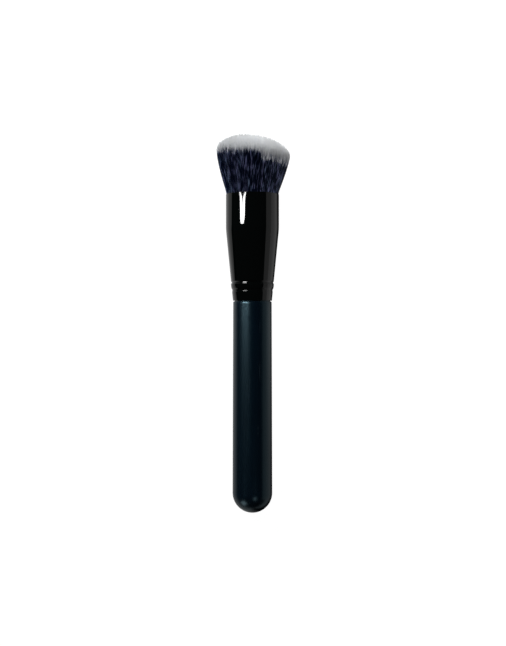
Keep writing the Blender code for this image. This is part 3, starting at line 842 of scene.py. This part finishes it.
    # How far each point is from the tip, and where the dye ends
    on_long_side = remap(
        tree, across, LONGER_WHITE_PLACE - LONGER_WHITE_BLEND, LONGER_WHITE_PLACE + LONGER_WHITE_BLEND,
        0.0, LONGER_WHITE_EXTRA, "SMOOTHSTEP",
    )
    beyond = calc(tree, "MAXIMUM", less(tree, across, OUTER_WHITE_PLACE), 0.0)
    white = calc(tree, "ADD", given["White Length"], on_long_side)
    white = calc(tree, "MULTIPLY_ADD", less(tree, 1.0, reach), given["Inner White"], white)
    white = calc(tree, "MULTIPLY_ADD", beyond, OUTER_WHITE_SLOPE, white)
    white = calc(tree, "MULTIPLY_ADD", recalled("dye_stray"), given["White Stray"], white)
    wander = less(tree, noise(tree, around, given["Dye Wander Scale"], 2.0, 0.6), 0.5)
    white = calc(tree, "MULTIPLY_ADD", wander, given["Dye Wander"], white)
    lock_stray = less(tree, lock_parts["Y"], 0.5)
    white = calc(tree, "MULTIPLY_ADD", lock_stray, given["Lock White Stray"], white)
    white = calc(tree, "MAXIMUM", white, LEAST_WHITE)
    from_tip = times(tree, less(tree, 1.0, rise), length)
    curves = stored(tree, curves, "white_length", white)
    curves = stored(tree, curves, "from_tip", from_tip)
    curves = stored(tree, curves, "rise", rise)
    curves = stored(tree, curves, "lock_tint", lock_parts["X"])
    run = calc(tree, "DIVIDE", height, given["Tuft Radius"])
    around_parts = parts_of(tree, around)
    along = combined(tree, around_parts["X"], around_parts["Y"], run)
    curves = stored(tree, curves, "strand_place", along, "FLOAT_VECTOR")
    curves = add(tree, "GeometryNodeSetPosition", {"Geometry": curves, "Position": place})

    thickness = remap(tree, recalled("rise"), TAPER_START, 1.0, 1.0, given["Tip Share"])
    thickness = times(tree, thickness, given["Filament Radius"])
    round_section = add(tree, "GeometryNodeCurvePrimitiveCircle", {"Resolution": 3, "Radius": 1.0})
    inputs = {"Curve": curves, "Profile Curve": round_section, "Scale": thickness, "Fill Caps": True}
    tubes = add(tree, "GeometryNodeCurveToMesh", inputs)
    tubes = add(tree, "GeometryNodeSetShadeSmooth", {"Geometry": tubes})
    tubes = add(tree, "GeometryNodeSetMaterial", {"Geometry": tubes, "Material": given["Material"]})
    tree.links.new(tubes, result.inputs["Geometry"])
    return tree


def thread_tree():
    """A thread wound as one helix round the neck of the root."""
    inputs = {
        "Turns": (FLOAT, BINDING_TURNS),
        "Winding Radius": (FLOAT, BINDING_RADIUS),
        "Pitch": (FLOAT, BINDING_PITCH),
        "Start Height": (FLOAT, -BINDING_START_DEPTH),
        "Thread Radius": (FLOAT, THREAD_RADIUS),
        "Points Per Turn": (INTEGER, 96),
        "Points Round Thread": (INTEGER, 12),
        "Material": (MATERIAL, None),
    }
    tree, given, result = new_group("wound_thread", "GeometryNodeTree", inputs, {"Geometry": GEOMETRY})
    inputs = {
        "Resolution": given["Points Per Turn"],
        "Rotations": given["Turns"],
        "Start Radius": given["Winding Radius"],
        "End Radius": given["Winding Radius"],
        "Height": times(tree, given["Turns"], given["Pitch"]),
    }
    helix = add(tree, "GeometryNodeCurveSpiral", inputs)
    lift = combined(tree, 0.0, 0.0, given["Start Height"])
    helix = add(tree, "GeometryNodeSetPosition", {"Geometry": helix, "Offset": lift})
    helix = stored(tree, helix, "run", add(tree, "GeometryNodeSplineParameter", output="Length"))
    inputs = {"Resolution": given["Points Round Thread"], "Radius": given["Thread Radius"]}
    section = add(tree, "GeometryNodeCurvePrimitiveCircle", inputs)
    section = stored(tree, section, "girth", add(tree, "GeometryNodeSplineParameter", output="Factor"))
    inputs = {"Curve": helix, "Profile Curve": section, "Fill Caps": True}
    tube = add(tree, "GeometryNodeCurveToMesh", inputs)
    tube = add(tree, "GeometryNodeSetMaterial", {"Geometry": tube, "Material": given["Material"]})
    tree.links.new(tube, result.inputs["Geometry"])
    return tree


def grown(name, tree, values):
    """What a tree makes with these values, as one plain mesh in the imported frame."""
    seed = bpy.data.objects.new(name, bpy.data.meshes.new(name))
    bpy.context.scene.collection.objects.link(seed)
    modifier = seed.modifiers.new(name, "NODES")
    modifier.node_group = tree
    sockets = tree.interface.items_tree
    identifiers = {socket.name: socket.identifier for socket in sockets if socket.in_out == "INPUT"}
    for key, value in values.items():
        modifier[identifiers[key]] = value
    graph = bpy.context.evaluated_depsgraph_get()
    made = seed.evaluated_get(graph)
    mesh = bpy.data.meshes.new_from_object(made, preserve_all_data_layers=True, depsgraph=graph)
    bpy.data.objects.remove(seed, do_unlink=True)
    mesh.name = name
    mesh.transform(LAID_DOWN @ Matrix.Translation((0, 0, MOUTH_PLACE)))
    return placed(name, mesh)


# Tuft, as rings of the root from its heart to its skin: name, filaments, inner and outer share of the
# root's radius, points along a filament and its radius
TUFT_RINGS = (
    ("filaments_heart", 7600, 0.0, 0.62, 5, INNER_FILAMENT_RADIUS),
    ("filaments_middle", 7600, 0.62, 0.86, 5, INNER_FILAMENT_RADIUS),
    ("filaments_mantle", 7600, 0.86, 0.97, 5, FILAMENT_RADIUS),
    ("filaments_skin", 5200, 0.955, 1.0, 7, FILAMENT_RADIUS),
)


def tuft():
    dye = filament_dye()
    tree = filament_tree()
    mouth_over_table = (LAID_DOWN @ Vector((0, 0, MOUTH_PLACE))).z
    pieces = []
    for order, (name, count, inner, outer, levels, radius) in enumerate(TUFT_RINGS):
        values = {
            "Filaments": count,
            "Levels": levels,
            "Inner Share": inner,
            "Outer Share": outer,
            "Filament Radius": radius,
            "Stray": SKIN_STRAY if outer == 1.0 else INNER_STRAY,
            "Table Up": UP,
            "Mouth Over Table": mouth_over_table,
            "Seed": 100 * (order + 1),
            "Material": dye,
        }
        pieces.append(grown(name, tree, values))
    root = turned("bonded_root", root_outline(), MOUTH_PLACE, bonded_root_finish())
    return pieces + [root]


def binding():
    return grown("wound_binding", thread_tree(), {"Material": thread_finish()})


# Studio
def camera_place():
    """The camera's place on the brush's own axes, over the middle of the photograph."""
    across = (PHOTO_WIDTH / 2 - PHOTO_AXIS_X) * METRES_PER_PIXEL
    height = (PHOTO_BUTT_Y - PHOTO_HEIGHT / 2) * METRES_PER_PIXEL
    return Vector((across, -CAMERA_DISTANCE, height))


def camera():
    """Looks down on the brush, square to its axis, from where the photograph was taken."""
    data = bpy.data.cameras.new("photo_camera")
    data.sensor_width = SENSOR
    data.lens = SENSOR * CAMERA_DISTANCE / (PHOTO_HEIGHT * METRES_PER_PIXEL)
    data.clip_start, data.clip_end = CAMERA_CLIP
    obj = bpy.data.objects.new("photo_camera", data)
    bpy.context.scene.collection.objects.link(obj)
    turn = Matrix(((1, 0, 0), (0, 0, -1), (0, 1, 0)))
    obj.matrix_world = LAID_DOWN @ Matrix.Translation(camera_place()) @ turn.to_4x4()
    bpy.context.scene.camera = obj


def emitter(name, strength):
    material = bpy.data.materials.new(name)
    material.use_nodes = True
    tree = material.node_tree
    tree.nodes.clear()
    output = tree.nodes.new("ShaderNodeOutputMaterial")
    glow = add(tree, "ShaderNodeEmission", {"Strength": strength})
    tree.links.new(glow, output.inputs["Surface"])
    return material


# The strip light's mirror image in the ferrule, as rows of the photograph's pixels: height, then both
# sides of its left and right halves, which part towards the mouth
STRIP_ROWS = (
    (187.5, 238.8, 239.5, 246.0, 246.5),
    (192.5, 239.4, 240.5, 244.9, 245.8),
    (195.5, 239.8, 241.5, 243.7, 245.4),
    (198.0, 239.95, 242.1, 243.1, 245.1),
    (202.0, 240.05, 242.4, 242.7, 244.95),
    (208.0, 240.2, 242.45, 242.6, 244.75),
    (215.0, 240.25, 242.45, 242.45, 244.65),
    (221.0, 240.35, 242.3, 242.3, 244.1),
    (223.5, 240.95, 242.2, 242.2, 243.5),
    (225.0, 241.7, 242.1, 242.1, 242.6),
)
STRIP_DISTANCE = 0.30
STRIP_STRENGTH = 34.0


def mirrored(pixel):
    """Where the camera's ray through a pixel meets the ferrule's straight mouth, and its way from there."""
    eye = camera_place()
    aim_x = (pixel[0] - PHOTO_AXIS_X) * METRES_PER_PIXEL
    aim_z = (PHOTO_BUTT_Y - pixel[1]) * METRES_PER_PIXEL
    ray = (Vector((aim_x, 0, aim_z)) - eye).normalized()
    flat = ray.x**2 + ray.y**2
    half = eye.x * ray.x + eye.y * ray.y
    rest = eye.x**2 + eye.y**2 - FERRULE_MOUTH_RADIUS**2
    hit = eye + ray * (-half - math.sqrt(half**2 - flat * rest)) / flat
    normal = Vector((hit.x, hit.y, 0)).normalized()
    return hit, ray - 2 * ray.dot(normal) * normal


def lights_only(light, piece):
    """Keeps a light off everything but one piece."""
    receivers = bpy.data.collections.new(light.name + "_receivers")
    receivers.objects.link(piece)
    light.light_linking.receiver_collection = receivers


def strip_light():
    """A flat glowing card whose mirror image in the ferrule has the rows above."""
    rays = [mirrored((x, row[0])) for row in STRIP_ROWS for x in (row[1], row[4])]
    facing = sum((direction for _, direction in rays), Vector()).normalized()
    middle = sum((hit for hit, _ in rays), Vector()) / len(rays) + facing * STRIP_DISTANCE
    bm = bmesh.new()

    def corner(x, y):
        hit, direction = mirrored((x, y))
        distance = (middle - hit).dot(facing) / direction.dot(facing)
        return bm.verts.new(LAID_DOWN @ (hit + direction * distance))

    for first in (1, 3):
        pairs = [(corner(row[first], row[0]), corner(row[first + 1], row[0])) for row in STRIP_ROWS]
        for upper, lower in zip(pairs, pairs[1:]):
            bm.faces.new((*upper, *reversed(lower)))
    mesh = bpy.data.meshes.new("strip_light")
    bm.to_mesh(mesh)
    bm.free()
    card = placed("strip_light", mesh, [emitter("strip_light_glow", STRIP_STRENGTH)])
    card.visible_camera = False
    return card


def softbox(name, target, turn, rise, distance, width, length, brightness):
    """A rectangular soft light that faces a target on the brush's axis. Its length lies along the brush."""
    turn, rise = math.radians(turn), math.radians(rise)
    facing = Vector((math.sin(turn) * math.cos(rise), -math.cos(turn) * math.cos(rise), math.sin(rise)))
    along = (Vector((0, 0, 1)) - facing * facing.z).normalized()
    data = bpy.data.lights.new(name, "AREA")
    data.shape = "RECTANGLE"
    data.size = width
    data.size_y = length
    data.energy = brightness * math.pi * width * length
    obj = bpy.data.objects.new(name, data)
    bpy.context.scene.collection.objects.link(obj)
    axes = Matrix((along.cross(facing), along, facing)).transposed().to_4x4()
    obj.matrix_world = LAID_DOWN @ Matrix.Translation(Vector((0, 0, target)) + facing * distance) @ axes
    return obj


# The table's glow as glossy pieces mirror it, in metres across and along the brush: a painted pool of light
# on the left, and a painted shadow and a paler painted pool on the right. Pairs go from the handle to the
# ferrule, or along a span.
GLOW_FERRULE_SPAN = (0.080, 0.092)
GLOW_POOL_EDGE = (0.064, 0.046)
GLOW_POOL_BLUR = (0.022, 0.003)
GLOW_FLARE_START = 0.085
GLOW_FLARE = 1.34
GLOW_LEFT_SPAN = (0.010, 0.046)
GLOW_LEFT = (0.68, 0.44)
GLOW_PAST_POOL = 0.01
GLOW_SHADOW_SPAN = (0.086, 0.130)
GLOW_SHADOW_EDGE = (0.0135, 0.0220)
GLOW_SHADOW_BLUR = 0.016
GLOW_RIGHT = (0.55, 0.48)
GLOW_MIDDLE_BLUR = 0.006
GLOW_BUTT_SPAN = (0.020, 0.075)
GLOW_BUTT_SHARE = 0.62


def painted_table_glow(tree, across, along):
    """How bright each place of the table glows to glossy pieces, with painted pools of light and a painted
    shadow.
    """
    by_ferrule = remap(tree, along, *GLOW_FERRULE_SPAN)
    past_ferrule = calc(tree, "MAXIMUM", less(tree, along, GLOW_FLARE_START), 0.0)
    pool_edge = mixed_value(tree, by_ferrule, *GLOW_POOL_EDGE)
    pool_edge = calc(tree, "MULTIPLY_ADD", past_ferrule, GLOW_FLARE, pool_edge)
    to_left = times(tree, across, -1.0)
    past_edge = less(tree, to_left, pool_edge)
    past_edge = calc(tree, "DIVIDE", past_edge, mixed_value(tree, by_ferrule, *GLOW_POOL_BLUR))
    in_pool = remap(tree, past_edge, -1.0, 1.0, 1.0, GLOW_PAST_POOL)
    left = times(tree, remap(tree, to_left, *GLOW_LEFT_SPAN, *GLOW_LEFT), in_pool)
    shadow_edge = remap(tree, along, *GLOW_SHADOW_SPAN, *GLOW_SHADOW_EDGE)
    past_shadow = less(tree, across, shadow_edge)
    out_of_shadow = remap(tree, past_shadow, 0.0, GLOW_SHADOW_BLUR, kind="SMOOTHSTEP")
    right = times(tree, out_of_shadow, mixed_value(tree, by_ferrule, *GLOW_RIGHT))
    glow = mixed_value(tree, remap(tree, across, -GLOW_MIDDLE_BLUR, GLOW_MIDDLE_BLUR), left, right)
    return times(tree, glow, remap(tree, along, *GLOW_BUTT_SPAN, GLOW_BUTT_SHARE, 1.0))


TABLE_HALF = 3.0
TABLE_DEPTH = 0.0001
TABLE_COLOUR = (0.08, 0.08, 0.08, 1)
TABLE_TO_CAMERA = 0.975
# Painted shadow: the table's glow to matt pieces is dim close to the brush and brighter further out
TABLE_PAINTED_SHADOW_SPAN = (0.010, 0.045)
TABLE_PAINTED_SHADOW_GLOW = (0.03, 0.34)


def floor():
    """A pale table: almost white to the camera; to matt pieces it glows dim close to the brush as a painted
    shadow, and to glossy pieces with painted pools of light and a painted shadow.
    """
    signs = ((-1, -1), (1, -1), (1, 1), (-1, 1))
    corners = [(x * TABLE_HALF, y * TABLE_HALF, -TABLE_DEPTH) for x, y in signs]
    mesh = bpy.data.meshes.new("table")
    mesh.from_pydata(corners, [], [(0, 1, 2, 3)])
    material, tree, shader, place = finish("pale_table", Roughness=1.0, Specular_IOR_Level=0.0)
    shader.inputs["Base Color"].default_value = TABLE_COLOUR
    parts = parts_of(tree, place)
    ray = tree.nodes.new("ShaderNodeLightPath").outputs
    painted_light_in_gloss = painted_table_glow(tree, parts["X"], parts["Z"])
    beside = calc(tree, "ABSOLUTE", parts["X"])
    painted_shadow_in_diffuse = remap(tree, beside, *TABLE_PAINTED_SHADOW_SPAN, *TABLE_PAINTED_SHADOW_GLOW, "SMOOTHSTEP")
    elsewhere = mixed_value(tree, ray["Is Diffuse Ray"], painted_light_in_gloss, painted_shadow_in_diffuse)
    strength = mixed_value(tree, ray["Is Camera Ray"], elsewhere, TABLE_TO_CAMERA)
    glow = add(tree, "ShaderNodeEmission", {"Strength": strength})
    to_camera = add(tree, "ShaderNodeAddShader", {0: glow, 1: shader.outputs["BSDF"]})
    surface = add(tree, "ShaderNodeMixShader", {0: ray["Is Camera Ray"], 1: glow, 2: to_camera})
    tree.links.new(surface, tree.nodes["Material Output"].inputs["Surface"])
    placed("table", mesh, [material])


ROOM_GLOW = 0.015
ROOM_TO_CAMERA = 0.94


def surroundings():
    world = bpy.data.worlds.new("studio")
    bpy.context.scene.world = world
    world.use_nodes = True
    tree = world.node_tree
    background = tree.nodes["Background"]
    ray = tree.nodes.new("ShaderNodeLightPath").outputs
    strength = mixed_value(tree, ray["Is Camera Ray"], ROOM_GLOW, ROOM_TO_CAMERA)
    tree.links.new(strength, background.inputs["Strength"])
    background.inputs["Color"].default_value = (1, 1, 1, 1)


# Soft lights: name, the place on the axis that each faces, degrees from straight up towards the right,
# degrees of rise towards the tuft, distance, width, length and brightness
TUFT_LIGHTS = (
    ("head_softbox", MOUTH_PLACE, -52, 52, 0.50, 0.24, 0.50, 17.0),
    ("head_lamp", MOUTH_PLACE, -52, 52, 0.50, 0.12, 0.14, 18.0),
    ("fill_softbox", MOUTH_PLACE, 48, 36, 0.60, 0.50, 0.50, 4.3),
)
RIGHT_CARD = ("right_card", MOUTH_PLACE, 75.5, 0.0, 0.30, 0.155, 0.60, 0.30)
HANDLE_LIGHTS = (
    ("handle_card", MOUTH_PLACE, -43.8, 5.5, 0.312, 0.17, 0.027, 138.0),
    ("butt_softbox", 0.0, -82, -48, 0.40, 0.30, 0.14, 2.2),
    ("low_softbox", 0.0, 16, -26, 0.40, 0.11, 0.11, 1.4),
)


def studio(handle, ferrule):
    camera()
    floor()
    surroundings()
    lights_only(strip_light(), ferrule)
    for light in TUFT_LIGHTS:
        softbox(*light).visible_glossy = False
    softbox(*RIGHT_CARD)
    for light in HANDLE_LIGHTS:
        lights_only(softbox(*light), handle)
    bpy.context.scene.view_settings.view_transform = "Standard"


def main():
    handle = turned("turned_handle", handle_outline(), 0, handle_lacquer())
    ferrule = turned("drawn_ferrule", ferrule_outline(), FERRULE_PLACE, ferrule_black(), closed=True)
    made = [
        (handle, "handle", "handle_lacquer"),
        (ferrule, "ferrule", "ferrule_black"),
        (binding(), "root_binding", "binding_thread"),
        *((piece, "filament_tuft", "filament") for piece in tuft()),
    ]
    for piece, node, slot in made:
        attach(piece, "root")
        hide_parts(node)
    epoxy = epoxy_finish()
    for node in ("epoxy_plug", "tenon_adhesive"):
        for material_slot in frame["nodes"][node].material_slots:
            material_slot.material = epoxy
    studio(handle, ferrule)


main()
